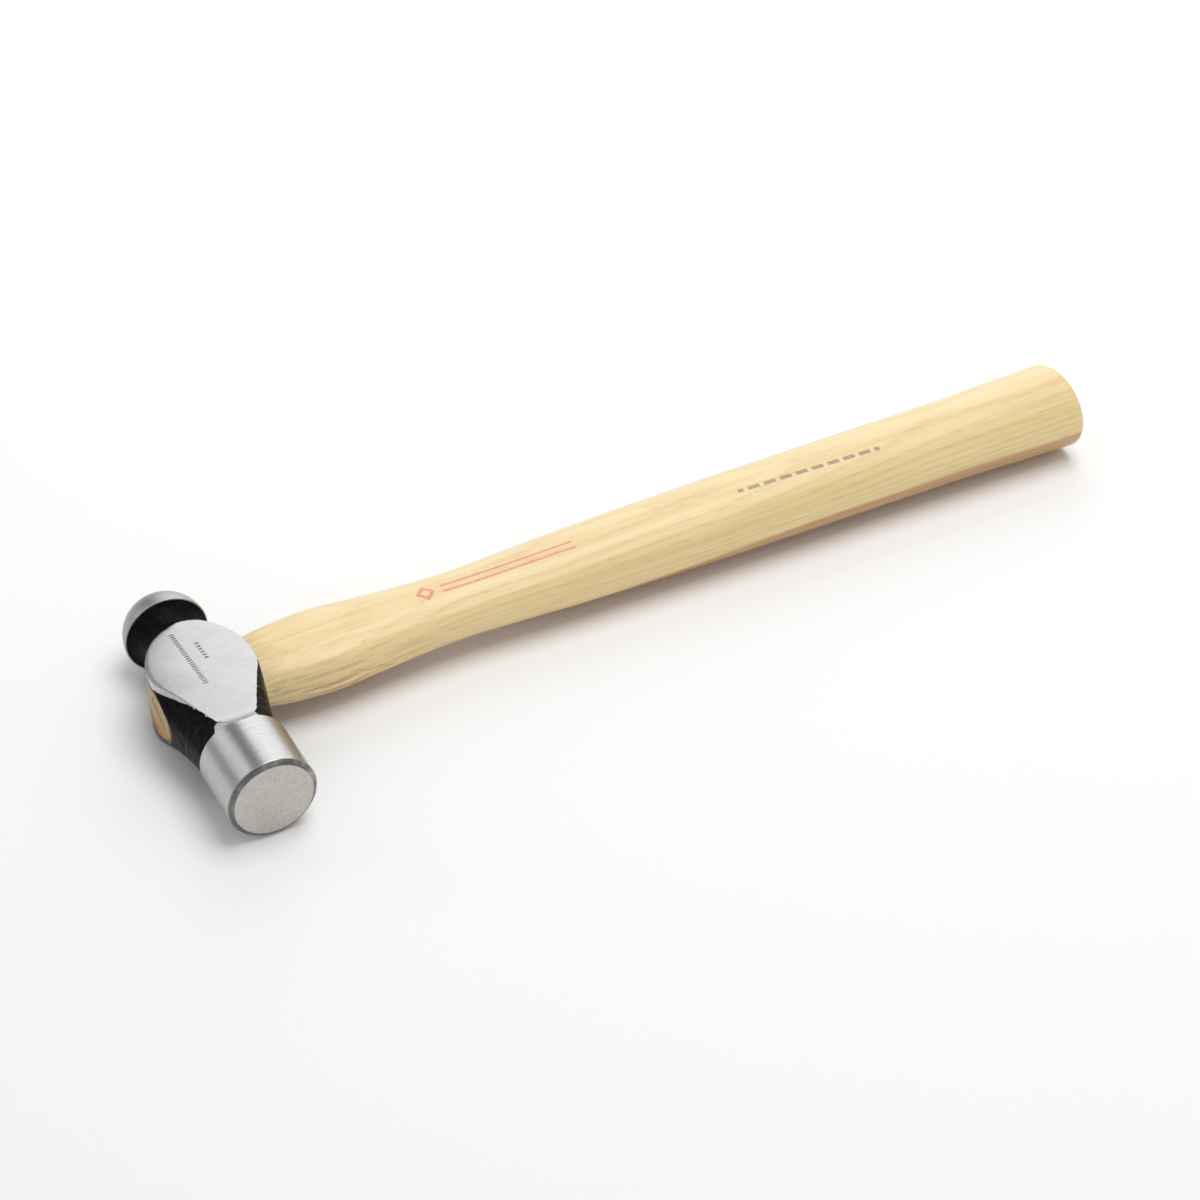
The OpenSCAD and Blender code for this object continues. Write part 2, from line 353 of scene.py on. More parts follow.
def body_surface(u, turn):
    """The body's radius round its centre line, and how far the ground cheeks and the eye's ends
    lie inside the forged skin, which is above 0 on them."""
    across, up = np.abs(np.cos(turn)) + 1e-9, np.abs(np.sin(turn)) + 1e-9
    open_side = np.cos(turn) < 0
    # The forged skin
    shaft_side = ramp(np.cos(turn), -SIDE_BLEND, SIDE_BLEND)
    fuller = FULLER * ramp(u, *FULLER_SETS_IN) - FULLER_LESS * ramp(u, *FULLER_FADES)
    leaner = LEANER * ramp(u, *LEANER_SETS_IN)
    by_cheek = ramp(up, *BY_CHEEK) * (fuller * shaft_side - leaner * (1 - shaft_side))
    bulb = bulb_radius(u) + by_cheek
    skin = soft_min(bulb, saddle_half(u) / across, SADDLE_BLEND)
    lap = ramp(u, LAP_START, LAP_END) * ramp(up, *LAP_UP)
    skin = skin + (POLL_R - skin) * lap
    at = np.stack([
        body_centre(u) + skin * np.cos(turn), -u, skin * np.sin(turn)
    ], axis=-1)
    beside_eye = ramp(across, *CALM_ACROSS) * (1 - ramp(u, *CALM_FADE))
    rough = ramp(u, *ROUGH_SETS_IN) * (1 - lap) * (1 - CALM_SHARE * beside_eye)
    uneven = ROUGH_COARSE * lumps(at, COARSE_SIZE) + ROUGH_FINE * lumps(at, FINE_SIZE)
    skin = skin + rough * uneven
    # The ground cheek, with its roll, its fall and its bevel
    edge = np.sqrt(np.maximum(bulb**2 - CHEEK**2, 0))
    half = cheek_half(u)
    rolled = (half / up * across - edge) / np.clip(edge, 1, ROLL_WIDTH) + 1
    rolled = np.where(open_side, np.clip(rolled, 0, ROLL_MOST), 0)
    roll_drop = ROLL_DROP * (1 - ramp(u, *ROLL_FADE))
    half = half - roll_drop * rolled**2
    fallen = np.clip(half / up * np.cos(turn) / EYE_REACH, 0, 1)
    half = half - CHEEK_FALL * fallen**2 * (1 - ramp(u, *CHEEK_FALL_FADE))
    bevel_start = edge - BEVEL_WIDTH * (1 - ramp(u, *BEVEL_FADE))
    bevel = (CHEEK - roll_drop + BEVEL_SLOPE * bevel_start) / (up + BEVEL_SLOPE * across)
    cheek = soft_min(half / up, np.where(open_side, bevel, OUT_OF_REACH), BEVEL_ROUND)
    # The eye's ground ends, and the fillet that fills the corner at the neck
    crown = np.maximum(crown_half(u), 1) / across
    cut_radius = np.minimum(skin, np.minimum(cheek, crown))
    radius = soft_max(cut_radius, np.full_like(cut_radius, NECK_R), NECK_BLEND)
    filled = FILLET_HIDES * (radius - cut_radius)
    bright = np.minimum(skin, crown) - cheek - filled
    bright = np.maximum(bright, LAP_BRIGHT * lap - LAP_EDGE)
    dull = np.minimum(skin, cheek) - crown - filled
    return radius, bright, dull


def ring_turns(u):
    """Turns of one body ring, spaced so that a point falls on each edge of the cheeks."""
    quarter = AROUND // 4
    fine = np.linspace(0, math.pi / 2, EDGE_LOOKS)
    even = EDGE_POINT / quarter * math.pi / 2
    turns = []
    for start, way in ((0, 1), (math.pi, -1), (math.pi, 1), (2 * math.pi, -1)):
        _, bright, _ = body_surface(np.full(fine.shape, u), start + way * fine)
        ground = np.nonzero(bright > 0)[0]
        edge = EDGE_MOST
        if len(ground) and ground[0] > 0:
            i = ground[0]
            share = bright[i - 1] / (bright[i - 1] - bright[i])
            edge = min(fine[i - 1] + share * (fine[i] - fine[i - 1]), EDGE_MOST)
        edge = even + (edge - even) * ramp(u, *EDGE_SETS_IN)
        part = np.interp(range(quarter + 1), [0, EDGE_POINT, quarter], [0, edge, math.pi / 2])
        part = start + way * part
        turns.append(part[:-1] if way > 0 else part[:0:-1])
    return np.concatenate(turns)


def turned_ring(u, radius, turns=TURNS):
    return np.stack([
        radius * np.cos(turns), np.full(AROUND, -u), radius * np.sin(turns)
    ], axis=-1)


def poll_ring(u, radius, turns):
    """A turned ring, whose top and bottom the cheeks' ramps cut where they run out."""
    cheek = cheek_half(u) / (np.abs(np.sin(turns)) + 1e-9)
    return turned_ring(u, np.minimum(radius, cheek) if u < CHEEK_RAMP_END else radius, turns)


def body_ring(u):
    turns = ring_turns(u)
    radius, _, _ = body_surface(np.full(AROUND, u), turns)
    return turned_ring(u, radius, turns) + np.array([float(body_centre(np.array(u))), 0, 0])


def rounded_corner(before, corner, after, size, steps=3):
    """Points of a small round on a profile's corner, as (u, radius)."""
    before, corner, after = (np.array(p, float) for p in (before, corner, after))
    start = corner + size * (before - corner) / np.linalg.norm(before - corner)
    end = corner + size * (after - corner) / np.linalg.norm(after - corner)
    found = []
    for k in range(steps + 1):
        t = k / steps
        found.append((1 - t) ** 2 * start + 2 * t * (1 - t) * corner + t * t * end)
    return found


def ball_profile():
    """From near the ball's tip, over the skirt's rim and into the hollow behind it."""
    skirt_turn = math.acos((BALL_MID - SKIRT_END) / BALL_R)
    found = []
    for k in range(1, BALL_STEPS):
        turn = skirt_turn * k / BALL_STEPS
        found.append((BALL_MID - BALL_R * math.cos(turn), BALL_R * math.sin(turn)))
    rim = (SKIRT_END, SKIRT_R)
    foot = (SKIRT_END, SKIRT_R - RIM_DROP)
    found += rounded_corner(found[-1], rim, foot, RIM_ROUND)
    low = math.acos((HOLLOW_MID - SKIRT_END) / HOLLOW_R)
    for k in range(HOLLOW_STEPS):
        turn = low + (math.pi / 2 - low) * k / HOLLOW_STEPS
        u = HOLLOW_MID - HOLLOW_R * math.cos(turn)
        found.append((u, HOLLOW_MID_R - HOLLOW_R * math.sin(turn)))
    return found


def poll_profile():
    """The poll's back edge, its cylinder, the chamfer and the striking face."""
    back, front = (POLL_BACK, POLL_R), (POLL_FRONT, POLL_R)
    edge = (FACE_REACH, FACE_R)
    first, last = POLL_BACK + RING_STEP, POLL_FRONT - RING_STEP
    found = rounded_corner((POLL_BACK, POLL_R - 1), back, front, BACK_ROUND)
    found += [(u, POLL_R) for u in np.linspace(first, CHEEK_RAMP_END, RAMP_STEPS)]
    found += [(u, POLL_R) for u in np.linspace(CHEEK_RAMP_END, last, POLL_STEPS)[1:]]
    found += rounded_corner(back, front, edge, CHAMFER_ROUND)
    found += rounded_corner(front, edge, (FACE_REACH, 0), CHAMFER_ROUND)
    found += [(FACE_REACH, FACE_R * (1 - k / FACE_STEPS)) for k in range(1, FACE_STEPS)]
    return found


def hollow_noise(ring):
    """The ring with the forging marks of the hollow behind the ball."""
    outward = ring * np.array([1, 0, 1])
    outward /= np.linalg.norm(outward, axis=1)[:, None]
    marks = HOLLOW_COARSE * lumps(ring, HOLLOW_COARSE_SIZE)
    marks += HOLLOW_FINE * lumps(ring, HOLLOW_FINE_SIZE)
    return ring + outward * marks[:, None]


def eye_half(x, mouth_half):
    """The eye's half length or half width at x: widest at its mouths."""
    return mouth_half - EYE_FLARE * (1 - (x / EYE_REACH) ** 2)


def eye_tube(reach, around=160):
    """A closed tube that fills the eye and runs past both its mouths."""
    turns = np.linspace(0, 2 * math.pi, around, endpoint=False)
    rings = []
    for x in np.linspace(-reach, reach, 41):
        half_len, half_w = eye_half(x, EYE_HALF_LEN), eye_half(x, EYE_HALF_W)
        rings.append(np.stack([
            np.full(around, x), -half_len * np.cos(turns), half_w * np.sin(turns)
        ], axis=-1))
    return closed_loft("eye_tube", rings, (-reach, 0, 0), (reach, 0, 0))


def finish_areas(piece):
    """Marks the bright ground areas and the dull eye ends, as distances inside the forged skin."""
    points = points_of(piece)
    x, u, z = points[:, 0], -points[:, 1], points[:, 2]
    across = x - body_centre(u)
    turn = np.arctan2(z, across)
    surface, bright, dull = body_surface(u, turn)
    in_wall = np.hypot(across, z) < surface - WALL_INSET
    body = (u > HOLLOW_MID - 1) & (u < POLL_BACK - NEAR)
    bright = np.where(body, np.where(in_wall, -1, bright), -1)
    dull = np.where(body & ~in_wall, dull, -1)
    radius = np.hypot(x, z)
    rim = (u < SKIRT_END + 0.01) & (radius > SKIRT_R - RIM_DEPTH)
    ball = (u < SKIRT_END - 0.02) | rim
    bright = np.where((u >= POLL_BACK - NEAR) | ball, 1, bright)
    add_attribute(piece, "bright", np.clip(bright, -1, 1))
    add_attribute(piece, "dull", np.clip(dull, -1, 1))


def make_head():
    rings = []
    for u, radius in ball_profile():
        ring = turned_ring(u, radius)
        rings.append(hollow_noise(ring) if u > SKIRT_END + RING_STEP else ring)
    last = POLL_BACK - HAIR
    for u in [*np.arange(HOLLOW_MID, POLL_BACK - RING_STEP / 2, RING_STEP), last]:
        rings.append(body_ring(u))
    turns = ring_turns(last)
    rings += [poll_ring(u, radius, turns) for u, radius in poll_profile()]
    head = closed_loft("forged_head", rings, (0, BALL_REACH, 0), (0, -FACE_REACH, 0))
    cut(head, eye_tube(EYE_REACH + 4), sharp=HEAD_SHARP)
    finish_areas(head)
    return head


# ================================================================ the handle
HANDLE_AROUND = 144
HANDLE_TURNS = np.linspace(0, 2 * math.pi, HANDLE_AROUND, endpoint=False)
HANDLE_RING_STEP = 1.0
HANDLE_SHARP = 40
# The tenon's sawn end: its unevenness, how far its rim is pressed in, and its depth in the eye
END_UNEVEN = 0.04
END_RIM_SINK, END_RIM = 0.12, (0.9, 1.0)
END_DEPTH = 0.3
# Sanding leaves long shallow waves
WAVE_DEPTH, WAVE_SIZE = 0.08, (38, 9, 9)
WAVES_SET_IN = (18, 26)
# A hollow above each soft ridge near the head: depth, degrees from the flat, and spread
HOLLOW_DEPTH, HOLLOW_TURN, HOLLOW_SPREAD = 0.30, 49, 10
HOLLOW_SETS_IN, HOLLOW_FADES = (24, 48), (110, 210)
SLOT_SPARE = 0.08
SLOT_PROUD = 3.0


def station(x):
    """Half depth, half thickness and power at x, on a smooth curve through the stations."""
    at = STATIONS[:, 0]
    rates = np.zeros((len(at), 3))
    last = len(at) - 1
    for i in range(len(at)):
        a, b = max(i - 1, 0), min(i + 1, last)
        rates[i] = (STATIONS[b, 1:] - STATIONS[a, 1:]) / (at[b] - at[a])
    i = min(int(np.searchsorted(at, x, side="right")) - 1, last - 1)
    width = at[i + 1] - at[i]
    t = (x - at[i]) / width
    return (
        STATIONS[i, 1:] * (1 + 2 * t) * (1 - t) ** 2
        + STATIONS[i + 1, 1:] * t * t * (3 - 2 * t)
        + width * rates[i] * t * (1 - t) ** 2
        - width * rates[i + 1] * t * t * (1 - t)
    )


def bend(value, power):
    """A cosine or sine bent to a section of this power: 2 is an oval, more is squarer."""
    return np.sign(value) * np.abs(value) ** (2 / power)


def section(x, half_depth, half_t, power, turns=HANDLE_TURNS):
    return np.stack([
        np.broadcast_to(x, turns.shape),
        -half_depth * bend(np.cos(turns), power),
        half_t * bend(np.sin(turns), power),
    ], axis=-1)


def eye_end(y):
    """Where the wood meets the crown over the eye's open end."""
    u = -y
    return body_centre(u) - crown_half(u)


def tenon_rings():
    """From the middle of the tenon's end, out to its edge, and along the eye to the shaft."""
    rings = []
    rim = section(0.0, EYE_HALF_LEN - TENON_GAP, EYE_HALF_W - TENON_GAP, 2)
    for share in np.linspace(0.04, 0.985, 30):
        ring = rim * share
        ring[:, 0] = eye_end(ring[:, 1])
        ring[:, 0] += END_UNEVEN * lumps(ring, (2, 0.7, 0.7))
        ring[:, 0] += END_RIM_SINK * ramp(share, *END_RIM)
        rings.append(ring)
    mouth = eye_end(rim[:, 1]) + END_DEPTH
    for t in np.linspace(0, 1, 24):
        x = mouth + (TENON_END - mouth) * t
        gap = TENON_GAP * (1 - t)
        ring = section(x, 1, 1, 2)
        ring[:, 1] *= eye_half(x, EYE_HALF_LEN) - gap
        ring[:, 2] *= eye_half(x, EYE_HALF_W) - gap
        rings.append(ring)
    return rings


def shaft_ring(x, shrink=0.0):
    half_depth, half_t, power = station(x)
    ring = section(x, half_depth - shrink, half_t - shrink, power)
    outward = ring * np.array([0, 1, 1])
    outward /= np.linalg.norm(outward, axis=1)[:, None]
    # The waves and the hollow only ever cut into the shape
    waves = (WAVE_DEPTH + WAVE_DEPTH * lumps(ring, WAVE_SIZE)) * ramp(x, *WAVES_SET_IN)
    lean = np.degrees(np.arctan2(np.abs(np.sin(HANDLE_TURNS)), np.abs(np.cos(HANDLE_TURNS))))
    hollow = HOLLOW_DEPTH * np.exp(-((lean - HOLLOW_TURN) / HOLLOW_SPREAD) ** 2)
    hollow = hollow * ramp(x, *HOLLOW_SETS_IN) * (1 - ramp(x, *HOLLOW_FADES))
    return ring - outward * (waves + hollow)[:, None]


def make_handle():
    rings = tenon_rings()
    end = BUTT_REACH - BUTT_ROUND
    count = int((end - TENON_END) / HANDLE_RING_STEP)
    rings += [shaft_ring(TENON_END + (end - TENON_END) * k / count) for k in range(1, count + 1)]
    for turn in np.linspace(0, math.pi / 2, 9)[1:]:
        x = end + BUTT_ROUND * math.sin(turn)
        rings.append(shaft_ring(x, BUTT_ROUND * (1 - math.cos(turn))))
    butt = np.array([BUTT_REACH, 0, 0])
    edge = rings[-1] - butt
    rings += [edge * [1, share, share] + butt for share in np.linspace(1, 0, 26)[1:-1]]
    tenon_tip = (float(eye_end(np.array(0.0))), 0, 0)
    handle = closed_loft("hickory_handle", rings, tenon_tip, butt, HANDLE_SHARP)
    cut(handle, *(wedge_block("slot", side, SLOT_SPARE, SLOT_PROUD) for side in (1, -1)))
    return handle


# ================================================================ the wedges
def wedge_point(side, along, across, x):
    """A point of a wedge: along its width, across its thickness, at x."""
    slide = WEDGE_SLIDE if side > 0 else 0.0
    y, z = -slide + along, side * WEDGE_GAP / 2 + across
    c, s = math.cos(WEDGE_TURN), math.sin(WEDGE_TURN)
    return np.array([x, -WEDGE_SHIFT + y * c - z * s, y * s + z * c])


def wedge_block(name, side, spare, proud):
    """A plain closed taper, spare wider all round than the wedge and proud of the crown."""
    levels = (
        (-EYE_REACH - proud, WEDGE_T / 2),
        (-EYE_REACH, WEDGE_T / 2),
        (WEDGE_DEPTH - EYE_REACH, WEDGE_TIP_T / 2),
    )
    half_w = WEDGE_W / 2 + spare
    points = []
    for x, half_t in levels:
        for along, across in ((-1, -1), (1, -1), (1, 1), (-1, 1)):
            points.append(wedge_point(side, along * half_w, across * (half_t + spare), x))
    faces = [(3, 2, 1, 0), (8, 9, 10, 11)]
    for k in (0, 4):
        for i in range(4):
            j = (i + 1) % 4
            faces.append((k + i, k + j, k + 4 + j, k + 4 + i))
    return mesh_object(name, points, faces)


def make_wedge(name, side):
    """A taper wedge with rounded corners, whose struck end follows the crown, dented."""
    turns = np.linspace(0, 2 * math.pi, WEDGE_AROUND, endpoint=False)
    wide, thick = WEDGE_POWERS
    outline = np.stack([bend(np.cos(turns), wide), bend(np.sin(turns), thick)], axis=-1)

    def flat_ring(half_w, half_t):
        return np.array([wedge_point(side, a * half_w, b * half_t, 0.0) for a, b in outline])

    rings = []
    for share in np.linspace(0.08, 1, 12):
        ring = flat_ring(WEDGE_W / 2 * share, WEDGE_T / 2 * share)
        dents = DENT_DEPTH * lumps(ring, DENT_SIZE)
        ring[:, 0] = eye_end(ring[:, 1]) + WEDGE_SUNK + dents + WEDGE_EDGE * ramp(share, 0.9, 1.0)
        rings.append(ring)
    tip = WEDGE_DEPTH - EYE_REACH
    start = rings[-1][:, 0] + WEDGE_EDGE_LEN
    for t in np.linspace(0, 1, 14):
        ring = flat_ring(WEDGE_W / 2, WEDGE_T / 2 + (WEDGE_TIP_T - WEDGE_T) / 2 * t)
        ring[:, 0] = start + (tip - start) * t
        rings.append(ring)
    return closed_loft(name, rings, rings[0].mean(0), rings[-1].mean(0), WEDGE_SHARP)


# ================================================================ marks and grain
# The grinding belt ran across the head, leaning this much
GRIND_TURN = (0.0, 0.0, math.radians(8.0))
BALL_FROM = (22.0, 24.0)
# The ball's colour is darkened towards black to dim its reflection of the top light: painted shade
BALL_PAINTED_SHADE = 0.18
BALL_ROUGHER = 0.16
# Rows of punched dashes on the cheek: place across, first and last along, half size, pitch
STAMPS = ((-2.55, -11.5, 17.4, 0.75, 1.15), (2.9, 0.0, 9.6, 0.6, 1.6))
STAMP_LEAN = 0.045
STAMP_SHARE = 0.22
STAMP_DEPTH = 0.00025
UPPER_CHEEK = (11.0, 11.5)

# Marks printed on the wood: place along the handle and half length, and the lean of the row
PRINT_LEAN = 0.028
PRINT_MIDDLE = 0.9
PRINT_TOP = (2.0, 4.0)
LOZENGE_X = 80.5
LOZENGE_R = 3.6
LOZENGE_HOLE = 0.45
RED_LINES = (111.5, 25.0)
RED_LINE_OFF, RED_LINE_HALF = 1.4, 0.42
GREY_DASHES = (231.0, 29.5)
DASH_HALF = 0.75
DASH_PITCH = 6.6
DASH_SHARE = 0.36

# Growth rings lie round a pith line under the handle, which leans off its axis
RING_GAP = 1.7
PITH_Y, PITH_Z = -3.0, -46.0
PITH_LEAN = 0.035
# Where the dark streaks by the head fade out: along, up and across
STREAK_X, STREAK_Z, STREAK_Y = (40.0, 95.0), (-3.0, 10.0), (0.0, 10.0)
# The heartwood's upper edge, how much lower it starts, and where
HEART_TOP, HEART_LOWER, HEART_RISES = -1.0, 4.5, (130.0, 240.0)
HEART_EDGE, HEART_Y = (-0.6, 1.6), (2.0, 10.0)
STAIN_Z, STAIN_X = (-6.5, 1.0), (-10.0, 0.0)

# Colours; where there are two, noise mixes them
GROUND_STEEL = (0.44, 0.44, 0.44), (0.57, 0.57, 0.565)
TURNED_STEEL = (0.44, 0.44, 0.44), (0.57, 0.565, 0.555)
CHAMFER_STEEL = (0.10, 0.10, 0.097), (0.26, 0.26, 0.25)
FACE_STEEL = (0.44, 0.405, 0.375), (0.66, 0.615, 0.575)
WEDGE_STEEL = (0.22, 0.215, 0.205), (0.42, 0.41, 0.39)
WORN_SCALE = (0.13, 0.132, 0.13), (0.22, 0.22, 0.215)
BLACK_SCALE = (0.002, 0.0022, 0.0026), (0.008, 0.0082, 0.0088)
# Light streaks in the black scale are painted sheen
SCALE_SHEEN_STREAK = (0.022, 0.022, 0.024)
PUNCHED = (0.10, 0.10, 0.095)
PALE_WOOD = (0.79, 0.595, 0.265), (0.865, 0.685, 0.35)
CLOUD_WOOD = (0.78, 0.58, 0.245)
STREAK_WOOD = (0.72, 0.505, 0.20)
RING_WOOD = (0.66, 0.43, 0.16)
DARK_WOOD = (0.44, 0.24, 0.07)
HEARTWOOD = (0.58, 0.30, 0.07), (0.43, 0.19, 0.035)
HEART_RING = (0.33, 0.145, 0.03)
PORE = (0.46, 0.27, 0.09)
RED_INK = (0.80, 0.13, 0.07)
GREY_INK = (0.10, 0.085, 0.065)
END_GRAIN = (0.58, 0.39, 0.15), (0.40, 0.23, 0.07)
END_STAIN = (0.46, 0.20, 0.045)
END_PORE = (0.30, 0.15, 0.05)
FLOOR_WHITE = (0.93, 0.93, 0.925)


# ================================================================ material tools
class Nodes:
    """Short calls for building one material's nodes."""

    def __init__(self, name):
        self.material = bpy.data.materials.new(name)
        self.material.use_nodes = True
        self.tree = self.material.node_tree
        self.shader = self.tree.nodes["Principled BSDF"]
        self.place = self.add("ShaderNodeTexCoord").outputs["Object"]

    def add(self, kind, **settings):
        node = self.tree.nodes.new(kind)
        for key, value in settings.items():
            setattr(node, key, value)
        return node

    def put(self, socket, value):
        """Links value to the socket if it is an output, and else sets it."""
        if isinstance(value, bpy.types.NodeSocket):
            self.tree.links.new(value, socket)
        elif hasattr(value, "__len__") and len(value) == 3 and socket.type == "RGBA":
            socket.default_value = (*value, 1.0)
        else:
            socket.default_value = value

    def set(self, **values):
        for key, value in values.items():
            self.put(self.shader.inputs[key.replace("_", " ")], value)

    def math(self, operation, a, b=0.0, c=0.0):
        node = self.add("ShaderNodeMath", operation=operation)
        for socket, value in zip(node.inputs, (a, b, c)):
            self.put(socket, value)
        return node.outputs[0]

    def stretched(self, x=1.0, y=1.0, z=1.0, turn=(0, 0, 0)):
        """The piece's own coordinates, scaled by axis, for a grain that runs one way."""
        node = self.add("ShaderNodeMapping")
        self.put(node.inputs["Vector"], self.place)
        node.inputs["Scale"].default_value = (x, y, z)
        node.inputs["Rotation"].default_value = turn
        return node.outputs[0]

    def local(self):
        """x, y and z in millimetres from the crossing."""
        node = self.add("ShaderNodeVectorMath", operation="MULTIPLY_ADD")
        self.put(node.inputs[0], self.place)
        node.inputs[1].default_value = (1 / MM,) * 3
        node.inputs[2].default_value = tuple(-CROSSING / MM)
        split = self.add("ShaderNodeSeparateXYZ")
        self.put(split.inputs[0], node.outputs[0])
        return split.outputs

    def bar(self, value, middle, half, soft=0.12):
        """1 where value is within half of middle, with soft ends."""
        away = self.math("ABSOLUTE", self.math("SUBTRACT", value, middle))
        return self.spread(away, half - soft, half + soft, 1.0, 0.0)

    def noise(self, scale, vector=None, detail=3.0, roughness=0.55):
        """Noise with about scale lumps to the metre."""
        node = self.add("ShaderNodeTexNoise")
        self.put(node.inputs["Vector"], self.place if vector is None else vector)
        node.inputs["Scale"].default_value = scale
        node.inputs["Detail"].default_value = detail
        node.inputs["Roughness"].default_value = roughness
        return node.outputs["Fac"]

    def spread(self, value, low, high, to_low=0.0, to_high=1.0):
        """Runs smoothly from to_low to to_high as value goes from low to high."""
        node = self.add("ShaderNodeMapRange", interpolation_type="SMOOTHSTEP")
        for socket, v in zip(node.inputs, (value, low, high, to_low, to_high)):
            self.put(socket, v)
        return node.outputs[0]

    def mix(self, share, a, b):
        """A colour between a and b."""
        node = self.add("ShaderNodeMix", data_type="RGBA")
        self.put(node.inputs[0], share)
        self.put(node.inputs[6], a)
        self.put(node.inputs[7], b)
        return node.outputs[2]

    def blend(self, share, a, b):
        """A number between a and b."""
        node = self.add("ShaderNodeMix", data_type="FLOAT")
        self.put(node.inputs[0], share)
        self.put(node.inputs[2], a)
        self.put(node.inputs[3], b)
        return node.outputs[0]

    def attribute(self, name):
        return self.add("ShaderNodeAttribute", attribute_name=name).outputs["Fac"]

    def bump(self, height, depth, normal=None):
        """Bump whose height runs over depth metres."""
        node = self.add("ShaderNodeBump")
        node.inputs["Strength"].default_value = 1.0
        node.inputs["Distance"].default_value = depth
        self.put(node.inputs["Height"], height)
        if normal is not None:
            self.put(node.inputs["Normal"], normal)
        return node.outputs[0]


def stamp_rows(n, x, y, z):
    """Two rows of plain punched dashes on the upper cheek, in place of lettering."""
    rows = []
    lean = n.math("MULTIPLY_ADD", y, STAMP_LEAN, x)
    for middle, first, last, half, pitch in STAMPS:
        step = n.math("FRACT", n.math("DIVIDE", y, pitch))
        marks = n.math("MULTIPLY", n.bar(lean, middle, half), n.bar(step, 0.5, STAMP_SHARE, 0.06))
        ends = n.bar(y, (first + last) / 2, (last - first) / 2)
        rows.append(n.math("MULTIPLY", marks, ends))
    both = n.math("ADD", *rows)
    worn = n.spread(n.noise(1500, detail=2.0), 0.25, 0.45)
    return n.math("MULTIPLY", n.math("MULTIPLY", both, worn), n.spread(z, *UPPER_CHEEK))


def steel_body():
    """Bright ground cheeks and ball, dull ground eye ends, and black forge scale between."""
    n = Nodes("head_steel_body")
    jag = n.math("SUBTRACT", n.noise(700, detail=4.0, roughness=0.7), 0.5)
    bright = n.spread(n.math("MULTIPLY_ADD", jag, 0.40, n.attribute("bright")), -0.015, 0.03)
    dull = n.spread(n.math("MULTIPLY_ADD", jag, 0.15, n.attribute("dull")), -0.02, 0.04)
    grind = n.noise(1100, n.stretched(0.14, 2.0, 2.0, GRIND_TURN), detail=5.0, roughness=0.7)
    cloud = n.noise(90, detail=3.0)
    fine = n.noise(2400, detail=3.0)
    steel = n.mix(n.spread(grind, 0.3, 0.7), *GROUND_STEEL)
    steel = n.mix(n.spread(cloud, 0.3, 0.75, 0.0, 0.35), steel, (0.63, 0.625, 0.61))
    steel = n.mix(n.spread(fine, 0.5, 0.72, 0.0, 0.5), steel, (0.34, 0.34, 0.34))
    worn = n.mix(n.spread(cloud, 0.35, 0.7), *WORN_SCALE)
    scale = n.mix(n.spread(n.noise(420, detail=5.0), 0.35, 0.75), *BLACK_SCALE)
    # Light streaks drawn into the black scale along the neck: painted sheen
    sheen_streak = n.noise(700, n.stretched(0.25, 2.0, 0.25), detail=4.0, roughness=0.7)
    scale = n.mix(n.spread(sheen_streak, 0.55, 0.80, 0.0, 0.8), scale, SCALE_SHEEN_STREAK)
    color = n.mix(dull, scale, worn)
    color = n.mix(bright, color, steel)
    x, y, z = n.local()
    # Painted shade: the ball's colour is darkened to dim its reflection of the top light
    color = n.mix(n.spread(y, *BALL_FROM, 0.0, BALL_PAINTED_SHADE), color, (0.0, 0.0, 0.0))
    punched = stamp_rows(n, x, y, z)
    color = n.mix(n.math("MULTIPLY", punched, 0.75), color, PUNCHED)
    metal = n.blend(dull, 0.0, 0.75)
    metal = n.blend(bright, metal, 1.0)
    scale_rough = n.spread(n.noise(600, detail=4.0), 0.3, 0.75, 0.22, 0.42)
    rough = n.blend(dull, scale_rough, 0.46)
    rough = n.blend(bright, rough, n.spread(grind, 0.25, 0.75, 0.27, 0.40))
    rough = n.blend(n.spread(y, *BALL_FROM, 0.0, BALL_ROUGHER), rough, 1.0)
    pits = n.bump(n.noise(900, detail=5.0, roughness=0.6), 0.00022)
    lines = n.bump(grind, 0.000012)
    lines = n.bump(punched, -STAMP_DEPTH, lines)
    normal = n.add("ShaderNodeMix", data_type="VECTOR")
    n.put(normal.inputs[0], bright)
    n.put(normal.inputs[4], pits)
    n.put(normal.inputs[5], lines)
    n.set(Base_Color=color, Metallic=metal, Roughness=rough, Normal=normal.outputs[1],
          Specular_IOR_Level=0.07)
    return n.material


def steel_poll():
    """The poll, turned: fine rings round the head's axis."""
    n = Nodes("head_steel_poll")
    rings = n.noise(1000, n.stretched(0.12, 4.0, 0.12), detail=5.0, roughness=0.7)
    speck = n.noise(1500, detail=2.0)
    steel = n.mix(n.spread(rings, 0.3, 0.7), *TURNED_STEEL)
    steel = n.mix(n.spread(speck, 0.62, 0.75, 0.0, 0.5), steel, (0.70, 0.70, 0.69))
    rough = n.spread(rings, 0.25, 0.75, 0.25, 0.39)
    tangent = n.add("ShaderNodeTangent", direction_type="RADIAL", axis="Y").outputs[0]
    n.set(Base_Color=steel, Metallic=1.0, Roughness=rough, Normal=n.bump(rings, 0.000012),
          Anisotropic=0.6, Anisotropic_Rotation=0.25, Tangent=tangent)
    return n.material


def steel_chamfer():
    """The chamfer round the striking face: darker, with turning marks."""
    n = Nodes("head_steel_chamfer")
    rings = n.noise(1400, n.stretched(0.15, 4.0, 0.15), detail=4.0, roughness=0.7)
    cloud = n.noise(260, detail=3.0)
    steel = n.mix(n.spread(rings, 0.3, 0.7), *CHAMFER_STEEL)
    steel = n.mix(n.spread(cloud, 0.45, 0.75, 0.0, 0.6), steel, (0.50, 0.495, 0.48))
    n.set(Base_Color=steel, Metallic=1.0, Roughness=n.spread(rings, 0.3, 0.7, 0.28, 0.42),
          Normal=n.bump(rings, 0.00002))
    return n.material


